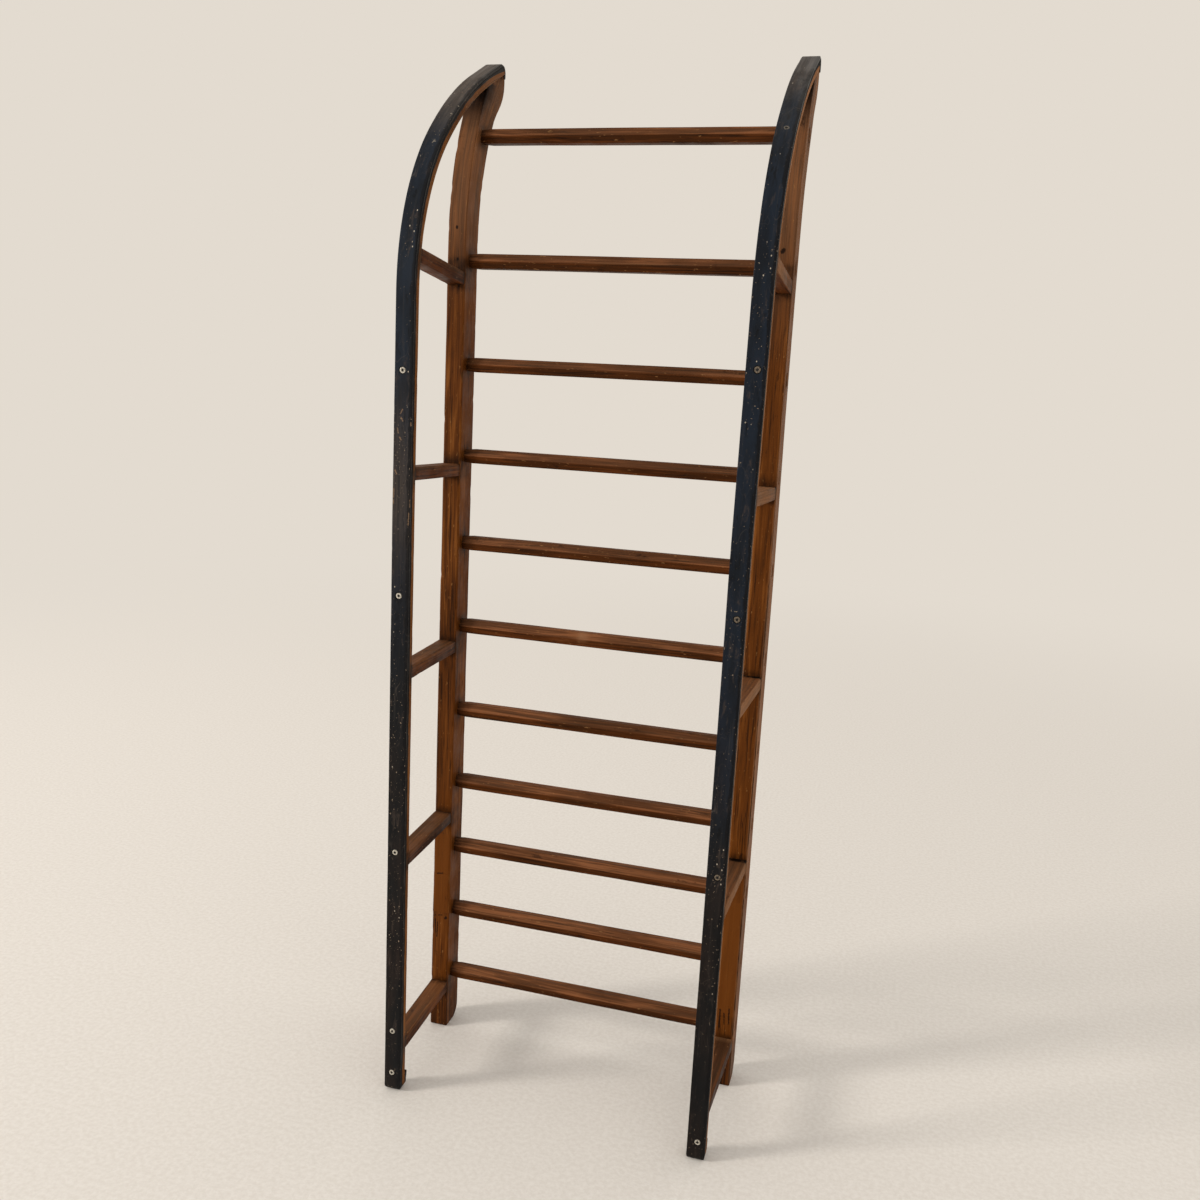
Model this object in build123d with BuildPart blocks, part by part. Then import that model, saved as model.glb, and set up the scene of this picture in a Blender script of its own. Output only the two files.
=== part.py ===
from build123d import *
from math import acos, asin, cos, degrees, radians, sin, tan
import os

# Wooden sled stood on its tails, millimetres.
# X runs across it, Y from the soles to the deck, Z up from the tails to the noses.
# In the side outlines a depth is counted from the sole plane and a height from the floor.

# Width over the runners, depth from the soles to the backs of the noses
runner_spread = 450
overall_depth = 280

# Runners: a bent ash strip with an iron shoe on its sole
runner_width = 24
wood_thick = 11
shoe_thick = 4
bend_start = 1072
low_radius = 284
low_turn = 43.9
high_radius = 511
high_turn = 19
tip_round = 11
tip_lap = 24
tail_round = 7
tail_corner_round = 7
tail_lip = 22

# Rails: the two long deck bars, bent from a lag above the runners' bend, the back hollowed below a crown
rail_width = 26
rail_depth = 44
rail_stand_off = 167
rail_overhang = 6
rail_bend_lag = 75
rail_bend_radius = 380
rail_back_turn = 22
rail_neck_length = 47
nose_hollow_radius = 60
nose_hollow_turn = 16
nose_crown_radius = 60
rail_heel_round = 20
rail_toe_round = 4

# Struts between runner and rail
strut_height = 17
strut_inset = 0.5
strut_tenon_width = 8
strut_tenon_height = 8
strut_tenon_in_rail = 18
strut_tenon_in_runner = 7
# Columns: height at the runner, height at the rail, from the nose down
strut_heights = [(1116, 1103), (853, 848), (597, 597), (338, 338), (66.5, 66.5)]

# Rungs between the rails: the first a drop below the nose, the others at heights from the nose down
rung_height = 20
rung_depth = 22
rung_taper_length = 14
rung_end_share = 0.88
rung_tenon_height = 16
rung_tenon_depth = 11
nose_rung_drop = 93
lower_rung_heights = [1127, 991, 867, 745, 625, 501, 391, 290, 188.5, 86]
# Columns: share of the rung's depth, share of its height
rung_section_shares = [(-0.5, 0), (-0.27, 0.5), (0.27, 0.5), (0.5, 0), (0.38, -0.5), (-0.41, -0.5)]

# Fit of every tenon in its mortise
tenon_clearance = 0.1

# Derived sizes
strip_thick = shoe_thick + wood_thick
runner_outer = runner_spread / 2
runner_inner = runner_outer - runner_width
rail_outer = runner_outer + rail_overhang
rail_inner = rail_outer - rail_width
strut_tenon_inner = (runner_inner + rail_outer - strut_tenon_width) / 2
tip_angle = radians(low_turn + high_turn)
tip_reach = overall_depth - shoe_thick
rail_bend_start = bend_start + rail_bend_lag
rail_centre_depth = rail_stand_off + rail_bend_radius
rail_mid_radius = rail_bend_radius - rail_depth / 2
sides = [("left", -1), ("right", 1)]


def side_plane(inner, width, side):
    """Plane of a side outline, at the low X end of a piece that spans inner to inner + width."""
    low = inner if side > 0 else -inner - width
    return Plane(origin=(low, -overall_depth / 2, 0), x_dir=(0, 1, 0), z_dir=(1, 0, 0))


def draw_layer(depth, foot, reach):
    """Line of the bent strip a depth below its sole, from height foot to depth reach."""
    straight = Line((depth, foot), (depth, bend_start))
    low = JernArc(straight @ 1, (0, 1), low_radius - depth, -low_turn)
    high = JernArc(low @ 1, low % 1, high_radius - depth, -high_turn)
    run = (reach - (high @ 1).X) / sin(tip_angle)
    nose = Line(high @ 1, high @ 1 + (high % 1) * run)
    return straight @ 0, nose @ 1


def corner(sketch, depth, height):
    """The outline's vertex nearest to a place."""
    return sketch.vertices().sort_by_distance((depth, height, 0))[0]


def layer_depth(depth, height):
    """Depth at which the lower bend of a layer stands at a height."""
    if height <= bend_start:
        return depth
    radius = low_radius - depth
    return low_radius - radius * cos(asin((height - bend_start) / radius))


def nose_height(layer, depth):
    """Height at which the straight nose of a layer reaches a depth."""
    centre_shift = high_radius - low_radius
    centre_depth = low_radius + centre_shift * cos(radians(low_turn))
    centre_height = bend_start - centre_shift * sin(radians(low_turn))
    bend_end_depth = centre_depth - (high_radius - layer) * cos(tip_angle)
    bend_end_height = centre_height + (high_radius - layer) * sin(tip_angle)
    return bend_end_height + (depth - bend_end_depth) / tan(tip_angle)


def rail_mid(height):
    """Depth of the middle of the rail at a height."""
    if height <= rail_bend_start:
        return rail_stand_off + rail_depth / 2
    return rail_centre_depth - rail_mid_radius * cos(asin((height - rail_bend_start) / rail_mid_radius))


lap_end = nose_height(0, overall_depth) - tip_lap
rung_heights = [nose_height(strip_thick, tip_reach) - nose_rung_drop] + lower_rung_heights


def round_tail(side):
    """Rounds both corners of a runner's tail, as seen from the front, on the piece being built."""
    middle = side * (runner_inner + runner_outer) / 2
    with BuildSketch(Plane.XZ) as corners:
        with Locations((middle, tail_corner_round)):
            Rectangle(runner_width, 2 * tail_corner_round)
        with Locations((middle, 2 * tail_corner_round)):
            RectangleRounded(runner_width, 4 * tail_corner_round, tail_corner_round, mode=Mode.SUBTRACT)
    extrude(corners.sketch, amount=overall_depth, both=True, mode=Mode.SUBTRACT)


def make_shoe(side):
    """Iron strap: lip behind the tail, sole, bend, and a lap over the tip."""
    with BuildPart() as shoe:
        with BuildSketch(side_plane(runner_inner, runner_width, side)) as outline:
            with BuildLine():
                sole_foot, sole_tip = draw_layer(0, 0, overall_depth)
                wood_foot, wood_tip = draw_layer(shoe_thick, shoe_thick, tip_reach)
                Polyline(sole_tip, (overall_depth, lap_end), (tip_reach, lap_end), wood_tip)
                heel = strip_thick + shoe_thick
                Polyline(sole_foot, (heel, 0), (heel, tail_lip), (strip_thick, tail_lip),
                         (strip_thick, shoe_thick), wood_foot)
            make_face()
            fillet(corner(outline, sole_tip.X, sole_tip.Y), tip_round)
            fillet(corner(outline, wood_tip.X, wood_tip.Y), tip_round - shoe_thick)
            for depth in (0, heel):
                fillet(corner(outline, depth, 0), tail_round)
            for depth in (shoe_thick, strip_thick):
                fillet(corner(outline, depth, shoe_thick), tail_round - shoe_thick)
        extrude(amount=runner_width)
        round_tail(side)
    return shoe


def make_runner(side):
    """Bent wooden strip inside the shoe, with a blind mortise behind each strut."""
    with BuildPart() as runner:
        with BuildSketch(side_plane(runner_inner, runner_width, side)) as outline:
            with BuildLine():
                outer_foot, outer_tip = draw_layer(shoe_thick, shoe_thick, tip_reach)
                inner_foot, inner_tip = draw_layer(strip_thick, shoe_thick, tip_reach)
                Line(outer_tip, inner_tip)
                Line(outer_foot, inner_foot)
            make_face()
            fillet(corner(outline, outer_tip.X, outer_tip.Y), tip_round - shoe_thick)
            for depth in (shoe_thick, strip_thick):
                fillet(corner(outline, depth, shoe_thick), tail_round - shoe_thick)
        extrude(amount=runner_width)
        round_tail(side)
        cut_strut_mortises(side)
    return runner


def strut_span(near):
    """Depths of a strut's runner tenon end, its two shoulders and its rail tenon end."""
    seat = layer_depth(strip_thick, near)
    return seat - strut_tenon_in_runner, seat, rail_stand_off, rail_stand_off + strut_tenon_in_rail


def strut_outline(near, far, start, end, height):
    """Corners of a bar along a strut's slope, of a height, from depth start to depth end."""
    seat, shoulder = strut_span(near)[1:3]
    slope = (far - near) / (shoulder - seat)
    start_mid = near + slope * (start - seat)
    end_mid = near + slope * (end - seat)
    return [(start, start_mid - height / 2), (end, end_mid - height / 2),
            (end, end_mid + height / 2), (start, start_mid + height / 2)]


def cut_strut_mortises(side):
    """Cuts the mortises of all strut tenons on one side out of the piece being built."""
    inner = strut_tenon_inner - tenon_clearance
    with BuildSketch(side_plane(inner, strut_tenon_width + 2 * tenon_clearance, side)) as holes:
        for near, far in strut_heights:
            start, seat, shoulder, end = strut_span(near)
            Polygon(*strut_outline(near, far, start - tenon_clearance, end + tenon_clearance,
                                   strut_tenon_height + 2 * tenon_clearance), align=None)
    extrude(holes.sketch, amount=strut_tenon_width + 2 * tenon_clearance, mode=Mode.SUBTRACT)


def make_rail(side):
    """Deck bar with a bent nose that the runner's tip seats on, mortised for rungs and struts."""
    with BuildPart() as rail:
        with BuildSketch(side_plane(rail_inner, rail_width, side)) as outline:
            with BuildLine():
                front = Line((rail_stand_off, 0), (rail_stand_off, rail_bend_start))
                front_turn = degrees(acos((rail_centre_depth - tip_reach) / rail_bend_radius))
                front_bend = JernArc(front @ 1, (0, 1), rail_bend_radius, -front_turn)
                back_depth = rail_stand_off + rail_depth
                back = Line((back_depth, 0), (back_depth, rail_bend_start))
                back_bend = JernArc(back @ 1, (0, 1), rail_bend_radius - rail_depth, -rail_back_turn)
                neck = Line(back_bend @ 1, back_bend @ 1 + (back_bend % 1) * rail_neck_length)
                hollow = JernArc(neck @ 1, neck % 1, nose_hollow_radius, -nose_hollow_turn)
                rise_turn = rail_back_turn + nose_hollow_turn
                rise_end = overall_depth - nose_crown_radius * (1 - cos(radians(rise_turn)))
                rise_run = (rise_end - (hollow @ 1).X) / sin(radians(rise_turn))
                rise = Line(hollow @ 1, hollow @ 1 + (hollow % 1) * rise_run)
                crown = JernArc(rise @ 1, rise % 1, nose_crown_radius, rise_turn)
                Polyline(front_bend @ 1, (overall_depth, (front_bend @ 1).Y), crown @ 1)
                Line(front @ 0, back @ 0)
            make_face()
            fillet(corner(outline, rail_stand_off, 0), rail_toe_round)
            fillet(corner(outline, rail_stand_off + rail_depth, 0), rail_heel_round)
            with BuildLine():
                seat_foot, seat_tip = draw_layer(strip_thick, 0, tip_reach)
                far_depth = seat_tip.X + overall_depth
                far_height = seat_tip.Y + overall_depth
                Polyline(seat_tip, (seat_tip.X, lap_end), (far_depth, lap_end), (far_depth, far_height),
                         (0, far_height), (0, 0), seat_foot)
            make_face(mode=Mode.SUBTRACT)
        extrude(amount=rail_width)
        cut_strut_mortises(side)
        with BuildSketch(side_plane(rail_inner, rail_width, side)):
            for height in rung_heights:
                with Locations((rail_mid(height), height)):
                    Rectangle(rung_tenon_depth + 2 * tenon_clearance, rung_tenon_height + 2 * tenon_clearance)
        extrude(amount=rail_width, mode=Mode.SUBTRACT)
    return rail


def make_strut(side, near, far):
    """Strut that widens from the runner to the rail, tenoned at both ends, its foot trimmed to the bend."""
    start, seat, shoulder, end = strut_span(near)
    with BuildPart() as strut:
        with BuildSketch(side_plane(runner_inner, rail_outer - runner_inner, side)):
            Polygon(*strut_outline(near, far, start, shoulder, strut_height), align=None)
            with BuildLine():
                foot, tip = draw_layer(strip_thick, 0, tip_reach)
                Polyline(tip, (0, tip.Y), (0, 0), foot)
            make_face(mode=Mode.SUBTRACT)
        extrude(amount=rail_outer - runner_inner)
        with BuildSketch(Plane.XY):
            plan = [(start, runner_inner + strut_inset), (shoulder, rail_inner + strut_inset),
                    (shoulder, rail_outer - strut_inset), (start, runner_outer - strut_inset)]
            Polygon(*[(side * x, depth - overall_depth / 2) for depth, x in plan], align=None)
        extrude(amount=near + strut_height, mode=Mode.INTERSECT)
        with BuildSketch(side_plane(strut_tenon_inner, strut_tenon_width, side)):
            Polygon(*strut_outline(near, far, start, end, strut_tenon_height), align=None)
        extrude(amount=strut_tenon_width)
    return strut


def rung_section(share):
    """Corners of the rung's six-sided section at a share of its full size."""
    return [(share * d * rung_depth, share * h * rung_height) for d, h in rung_section_shares]


def make_rung(height):
    """Hand-planed rung of six facets, drawn in at its ends, with a tenon right through each rail."""
    place = (rail_mid(height) - overall_depth / 2, height)
    taper_start = rail_inner - rung_taper_length
    with BuildPart() as rung:
        with BuildSketch(Plane.YZ.offset(-taper_start)):
            with Locations(place):
                Polygon(*rung_section(1), align=None)
        extrude(amount=2 * taper_start)
        for side in (-1, 1):
            with BuildSketch(Plane.YZ.offset(side * taper_start)):
                with Locations(place):
                    Polygon(*rung_section(1), align=None)
            with BuildSketch(Plane.YZ.offset(side * rail_inner)):
                with Locations(place):
                    Polygon(*rung_section(rung_end_share), align=None)
            loft(ruled=True)
        with BuildSketch(Plane.YZ.offset(-rail_outer)):
            with Locations(place):
                Rectangle(rung_tenon_depth, rung_tenon_height)
        extrude(amount=2 * rail_outer)
    return rung


# Build every piece and write it to its own file
pieces = {}
for name, side in sides:
    pieces["shoe_" + name] = make_shoe(side)
    pieces["runner_" + name] = make_runner(side)
    pieces["rail_" + name] = make_rail(side)
    for number, (near, far) in enumerate(strut_heights, 1):
        pieces[f"strut_{name}_{number}"] = make_strut(side, near, far)
for number, height in enumerate(rung_heights, 1):
    pieces[f"rung_{number:02d}"] = make_rung(height)

os.makedirs("parts", exist_ok=True)
for name, piece in pieces.items():
    piece.part.label = name
    export_step(piece.part, f"parts/{name}.step")
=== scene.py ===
from math import asin, atan2, ceil, cos, exp, hypot, pi, radians, sin, sqrt, tan

import bmesh
import bpy
from mathutils import Matrix, Vector, noise


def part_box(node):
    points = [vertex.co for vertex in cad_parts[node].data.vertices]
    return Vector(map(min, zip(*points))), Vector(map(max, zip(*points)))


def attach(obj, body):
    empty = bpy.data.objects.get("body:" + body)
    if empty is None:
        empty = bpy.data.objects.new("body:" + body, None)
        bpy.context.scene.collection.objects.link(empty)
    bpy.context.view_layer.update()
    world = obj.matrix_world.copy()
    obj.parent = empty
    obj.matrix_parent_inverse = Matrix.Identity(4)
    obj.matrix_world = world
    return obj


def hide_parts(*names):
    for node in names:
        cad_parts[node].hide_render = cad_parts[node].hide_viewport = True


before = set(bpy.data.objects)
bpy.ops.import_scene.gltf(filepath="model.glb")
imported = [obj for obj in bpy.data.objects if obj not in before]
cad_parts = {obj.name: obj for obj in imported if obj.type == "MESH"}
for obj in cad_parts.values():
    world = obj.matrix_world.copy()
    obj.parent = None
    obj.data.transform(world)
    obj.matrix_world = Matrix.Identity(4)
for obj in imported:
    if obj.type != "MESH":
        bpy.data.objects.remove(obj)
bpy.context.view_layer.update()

# The old wooden sled, metres. X runs across it, Y from the soles to the deck, Z up.
# In side views a depth is counted from the sole plane towards the deck.
MM = 0.001
SIDES = [("left", -1), ("right", 1)]
STRUTS = range(1, 6)
RUNGS = range(1, 12)

# Bent line of the sole and of the rails
BEND_START = 1072 * MM
LOW_RADIUS = 284 * MM
LOW_TURN = radians(43.9)
HIGH_RADIUS = 511 * MM
HIGH_TURN = radians(19)
RAIL_BEND_START = 1147 * MM
RAIL_BEND_RADIUS = 380 * MM

# Iron strap and the wooden strip behind it
WOOD_THICK = 11 * MM
TIP_ROUND = 11 * MM
TAIL_ROUND = 7 * MM
TAIL_LIP = 22 * MM
LIP_SPLAY = 1.2 * MM
TIP_LAP = 24 * MM
TIP_CORNER = 3 * MM
SOLE_SINK = 0.1 * MM
STRIP_EDGE = 0.6 * MM
STRIP_RIPPLE = 0.15 * MM
STRAP_END_ROUND = 0.9 * MM
WOOD_END_ROUND = 3 * MM
# How much thicker the strap is at its lip, and where along it that fades
LIP_THICKER = 0.8 * MM
LIP_FADE = (5 * MM, 11 * MM)
# How far the noses of the runners sway to +X, from the height where that starts
NOSE_SWAY = {-1: 2.0 * MM, 1: 5.0 * MM}
SWAY_START = 800 * MM
SIDE_SHIFT = {-1: 0.0, 1: 0.5 * MM}

# Rails
RAIL_DEPTH = 44 * MM
HEEL_ROUND = 20 * MM
TOE_ROUND = 4 * MM
RAIL_EDGE = 1.6 * MM
BACK_TURN = radians(22)
NECK_LENGTH = 47 * MM
HOLLOW_RADIUS = 60 * MM
HOLLOW_TURN = radians(16)
CROWN_RADIUS = 60 * MM
RAIL_RIPPLE = 0.25 * MM
RAIL_FACE_RIPPLE = 0.4 * MM
RAIL_END_DRAW = 1.2 * MM
# How far the right rail's outer face draws in towards its nose, and the left rail's inner face widens there
RAIL_PINCH = 1.7 * MM
PINCH_RANGE = (700 * MM, 1000 * MM)
NOSE_FLARE = 5.6 * MM
FLARE_RANGE = (1290 * MM, 1365 * MM)
# Smooth mended faces on the fronts of the rails: heights of their ends, and how proud each part stands
PLATE_EDGES = {-1: [187 * MM, 249 * MM, 312 * MM], 1: [108 * MM, 282 * MM]}
PLATE_THIN = 0.3 * MM
PLATE_THICK = 0.9 * MM

# Struts: half their height, their inset from the sides, their wear, and the heights of their middles at the
# runner and at the rail, in millimetres
STRUT_HALF = 8.5 * MM
STRUT_INSET = 0.5 * MM
STRUT_EDGE = 0.9 * MM
STRUT_RIPPLE = 0.4 * MM
STRUT_HEIGHTS = [(1116, 1103), (853, 848), (597, 597), (338, 338), (66.5, 66.5)]

# Rungs: their section as shares of depth and height, their tenons, the mortises, and how far they reach in
RUNG_HEIGHT = 20 * MM
RUNG_DEPTH = 22 * MM
RUNG_SECTION_SHARES = [(-0.5, 0), (-0.27, 0.5), (0.27, 0.5), (0.5, 0), (0.38, -0.5), (-0.41, -0.5)]
RUNG_TENON_DEPTH = 11 * MM
RUNG_TENON_HEIGHT = 16 * MM
RUNG_TAPER_LENGTH = 14 * MM
RUNG_TAPER_SHARE = 0.12
MORTISE_GAP = 0.5 * MM
MORTISE_SINK = 4 * MM
MORTISE_EDGE = 1.5 * MM
TENON_EDGE = 0.8 * MM
RUNG_REACH = 1.0 * MM
RUNG_SWAY = 0.5 * MM

# Screws through the strap, from the nose down: side, height, whether bright zinc
SCREWS = [("left", 979, True), ("left", 699, True), ("left", 352, True), ("left", 90, True), ("left", 27, True),
          ("right", 999, False), ("right", 714, False), ("right", 392, False), ("right", 27, True)]
SCREW_OFFSET = 1.5 * MM
SCREW_SINK = 1.2 * MM
SCREW_HOLE = 4.9 * MM
SCREW_FRONT = 0.35 * MM
SCREW_TURN = 1.3
# Half section of a screw head with its recess, as (radius, depth) in millimetres
SCREW_PROFILE = [(0.0, 0.95), (0.9, 0.95), (1.7, 0.85), (1.75, 0.1), (2.0, 0.0), (3.0, 0.02), (3.6, 0.2),
                 (4.0, 0.8), (4.0, 1.6), (0.0, 1.6)]
RECESS_RING = (1.6 * MM, 1.9 * MM)
RECESS_RADIUS = 1.75 * MM
TURNED_SEGMENTS = 32

# How finely the pieces are divided, and the angle above which an edge stays sharp
STEP = 7 * MM
BEND_STEP = 5 * MM
FINE_STEP = 2 * MM
SUPPORT = 1.2 * MM
LOOP = 0.2 * MM
CORNER_LIMIT = 0.45
SHARP_ANGLE = radians(38)

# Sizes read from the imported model
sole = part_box("shoe_right")[0].y
runner_low, runner_high = (corner.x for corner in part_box("runner_right"))
rail_low, rail_high = (corner.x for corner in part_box("rail_right"))
rail_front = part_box("rail_right")[0].y - sole
shoe_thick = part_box("runner_right")[0].y - sole
overall_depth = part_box("shoe_right")[1].y - sole
top_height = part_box("shoe_right")[1].z
strip_thick = shoe_thick + WOOD_THICK
tip_reach = overall_depth - shoe_thick
tip_lean = LOW_TURN + HIGH_TURN
runner_mid = (runner_low + runner_high) / 2
runner_half = (runner_high - runner_low) / 2
rail_mid = (rail_low + rail_high) / 2
rail_half = (rail_high - rail_low) / 2
rail_centre = (rail_front + RAIL_BEND_RADIUS, RAIL_BEND_START)
low_centre = (LOW_RADIUS, BEND_START)
high_centre = (LOW_RADIUS + (HIGH_RADIUS - LOW_RADIUS) * cos(LOW_TURN),
               BEND_START - (HIGH_RADIUS - LOW_RADIUS) * sin(LOW_TURN))


def wander(x, y=0.0, z=0.0, seed=0):
    """Smooth chance value from about -1 to 1, the same on every run."""
    return noise.noise(Vector((x + 17.3 * seed, y - 9.1 * seed, z + 4.7 * seed)))


class Trace:
    """A line in the side view made of straight runs and round turns, kept as stations.

    A station is (depth, height, lean, along), and lean is the heading from straight up towards the deck.
    """

    def __init__(self, depth, height, lean=0.0):
        self.depth = depth
        self.height = height
        self.lean = lean
        self.along = 0.0
        self.stations = []
        self.mark()

    def mark(self):
        self.stations.append((self.depth, self.height, self.lean, self.along))

    def run(self, length, step=STEP):
        count = max(1, ceil(length / step))
        for _ in range(count):
            self.depth += sin(self.lean) * length / count
            self.height += cos(self.lean) * length / count
            self.along += length / count
            self.mark()

    def turn(self, radius, angle, step=STEP):
        count = max(4, ceil(radius * abs(angle) / step))
        for _ in range(count):
            part = angle / count
            chord = 2 * radius * sin(abs(part) / 2)
            self.lean += part / 2
            self.depth += sin(self.lean) * chord
            self.height += cos(self.lean) * chord
            self.lean += part / 2
            self.along += radius * abs(part)
            self.mark()


def strip_end(layer):
    """Where the high bend ends on the layer a distance behind the sole."""
    radius = HIGH_RADIUS - layer
    return high_centre[0] - radius * cos(tip_lean), high_centre[1] + radius * sin(tip_lean)


def arc_depth(centre, radius, height):
    """Depth of a bend at a height."""
    return centre[0] - radius * cos(asin((height - centre[1]) / radius))


def polar(centre, depth, height):
    """Radius and angle of a place about the centre of a bend."""
    rise, run = height - centre[1], centre[0] - depth
    return hypot(rise, run), atan2(rise, run)


def strip_back(height, layer):
    """Depth of a layer of the bent strip at a height."""
    if height <= BEND_START:
        return layer
    if height <= BEND_START + (LOW_RADIUS - layer) * sin(LOW_TURN):
        return arc_depth(low_centre, LOW_RADIUS - layer, height)
    end_depth, end_height = strip_end(layer)
    if height <= end_height:
        return arc_depth(high_centre, HIGH_RADIUS - layer, height)
    return end_depth + (height - end_height) * tan(tip_lean)


def strip_place(depth, height):
    """Layer behind the sole and distance along the sole of a place on the runner."""
    if height <= BEND_START:
        return depth, height
    radius, angle = polar(low_centre, depth, height)
    if angle <= LOW_TURN:
        return LOW_RADIUS - radius, BEND_START + LOW_RADIUS * angle
    radius, angle = polar(high_centre, depth, height)
    high_start = BEND_START + LOW_RADIUS * LOW_TURN
    return HIGH_RADIUS - radius, high_start + HIGH_RADIUS * (min(angle, tip_lean) - LOW_TURN)


def rail_face(height):
    """Depth of the rail's front face at a height."""
    return rail_front if height <= RAIL_BEND_START else arc_depth(rail_centre, RAIL_BEND_RADIUS, height)


def back_line():
    """Back of a rail from its bend on: neck, hollow and crown, as (depth, height) places."""
    line = Trace(rail_front + RAIL_DEPTH, RAIL_BEND_START)
    line.turn(RAIL_BEND_RADIUS - RAIL_DEPTH, BACK_TURN)
    line.run(NECK_LENGTH)
    line.turn(HOLLOW_RADIUS, HOLLOW_TURN, FINE_STEP)
    crown_start = overall_depth - CROWN_RADIUS * (1 - cos(line.lean))
    line.run((crown_start - line.depth) / sin(line.lean))
    line.turn(CROWN_RADIUS, -line.lean, FINE_STEP)
    return [station[:2] for station in line.stations]


def rail_back(height, line):
    """Depth of the rail's back at a height."""
    if height <= RAIL_BEND_START:
        return rail_front + RAIL_DEPTH
    for (depth0, height0), (depth1, height1) in zip(line, line[1:]):
        if height <= height1:
            return depth0 + (depth1 - depth0) * (height - height0) / (height1 - height0)
    return overall_depth


def sway(side, height):
    """How far a runner stands to +X of its straight place at a height."""
    return SIDE_SHIFT[side] + NOSE_SWAY[side] * max(0.0, height - SWAY_START) / (top_height - SWAY_START)


def rail_place(depth, height):
    """Distance from the rail's middle line towards the deck, and distance along it."""
    mid_radius = RAIL_BEND_RADIUS - RAIL_DEPTH / 2
    if height <= RAIL_BEND_START:
        return depth - rail_front - RAIL_DEPTH / 2, height
    radius, angle = polar(rail_centre, depth, height)
    return mid_radius - radius, RAIL_BEND_START + mid_radius * angle


def circle(radius, count):
    return [(radius * cos(2 * pi * k / count), radius * sin(2 * pi * k / count)) for k in range(count)]


def rounded_ring(half_a, half_t, radii):
    """Points (a, t) of a rectangle with four rounded corners, with close loops beside each corner."""
    corners = []
    for index, radius in enumerate(radii):
        sign_a = 1 if index in (0, 3) else -1
        sign_t = 1 if index in (0, 1) else -1
        radius = min(radius, CORNER_LIMIT * half_a * 2, CORNER_LIMIT * half_t * 2)
        start = index * pi / 2
        corners.append([(sign_a * (half_a - radius) + radius * cos(start + k * pi / 6),
                         sign_t * (half_t - radius) + radius * sin(start + k * pi / 6)) for k in range(4)])
    points = []
    for index, corner in enumerate(corners):
        points.extend(corner)
        (a0, t0), (a1, t1) = corner[-1], corners[(index + 1) % 4][0]
        near = min(SUPPORT / max(hypot(a1 - a0, t1 - t0), SUPPORT), 0.3)
        for share in (near, 0.5, 1 - near):
            points.append((a0 + (a1 - a0) * share, t0 + (t1 - t0) * share))
    return points


def worn_radii(base, along, seed):
    """Radii of the four corners of a section, larger where the edge has been knocked and rubbed."""
    radii = []
    for corner in range(4):
        rub = max(0.0, wander(along * 14, corner, 0.5, seed) + 0.1)
        knock = max(0.0, wander(along * 75, corner, 7.5, seed) - 0.33)
        radii.append(base * (1 + 1.1 * rub + 3.2 * knock))
    return radii


def end_cut(distance, radius):
    """How far a rounded end has drawn in at a distance from the end."""
    if distance >= radius:
        return 0.0
    return radius - sqrt(max(radius * radius - (radius - distance) ** 2, 0.0))


def link(name, data):
    """A new object in the scene."""
    obj = bpy.data.objects.new(name, data)
    bpy.context.scene.collection.objects.link(obj)
    return obj


def solid(name, points, faces):
    """A loose closed piece with its faces turned outwards."""
    mesh = bpy.data.meshes.new(name)
    mesh.from_pydata(points, [], faces)
    obj = link(name, mesh)
    tidy_normals(obj)
    return obj


def ring_solid(name, rings):
    """A loose closed piece over a row of rings of points, with its ends filled."""
    size = len(rings[0])
    faces = [(row * size + k, row * size + (k + 1) % size, (row + 1) * size + (k + 1) % size, (row + 1) * size + k)
             for row in range(len(rings) - 1) for k in range(size)]
    faces += [tuple(range(size - 1, -1, -1)), tuple(range((len(rings) - 1) * size, len(rings) * size))]
    return solid(name, [point for ring in rings for point in ring], faces)


def skin(name, rings, material, body="root"):
    """A visible piece over a row of rings, with its material and body."""
    obj = ring_solid(name, rings)
    obj.data.materials.append(material)
    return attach(obj, body)


def smooth_up_to_edges(obj):
    obj.data.shade_smooth()
    obj.data.set_sharp_from_angle(angle=SHARP_ANGLE)


def tidy_normals(obj):
    """Turns all faces outwards and shades them smooth up to real edges."""
    shell = bmesh.new()
    shell.from_mesh(obj.data)
    bmesh.ops.recalc_face_normals(shell, faces=shell.faces)
    shell.to_mesh(obj.data)
    shell.free()
    smooth_up_to_edges(obj)


def cut(obj, tool):
    """Takes the tool's shape out of the piece and removes the tool."""
    modifier = obj.modifiers.new("cut", "BOOLEAN")
    modifier.operation = "DIFFERENCE"
    modifier.solver = "EXACT"
    modifier.object = tool
    bpy.context.view_layer.update()
    evaluated = obj.evaluated_get(bpy.context.evaluated_depsgraph_get())
    mesh = bpy.data.meshes.new_from_object(evaluated)
    obj.modifiers.remove(modifier)
    obj.data = mesh
    bpy.data.objects.remove(tool)
    tidy_normals(obj)


def join(name, objs):
    """Joins pieces into the first one, under a new name."""
    whole = bmesh.new()
    for obj in objs:
        whole.from_mesh(obj.data)
    mesh = bpy.data.meshes.new(name)
    whole.to_mesh(mesh)
    whole.free()
    for slot_material in objs[0].data.materials:
        mesh.materials.append(slot_material)
    first = objs[0]
    for obj in objs[1:]:
        bpy.data.objects.remove(obj)
    first.data = mesh
    first.name = name
    smooth_up_to_edges(first)
    return first


def block(name, low, high, edge):
    """A loose closed block with worn edges, used as a tenon end or as a cutting shape."""
    low, high = Vector(low), Vector(high)
    centre, half = (low + high) / 2, (high - low) / 2
    levels = [(low.z + share * edge, end_cut(share * edge, edge)) for share in (0.0, 0.3, 1.0)]
    levels += [(low.z + high.z - height, draw) for height, draw in reversed(levels)]
    return ring_solid(name, [[(centre.x + a, centre.y + t, height) for a, t in
                              rounded_ring(half.x - draw, half.y - draw, [edge] * 4)] for height, draw in levels])


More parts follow.
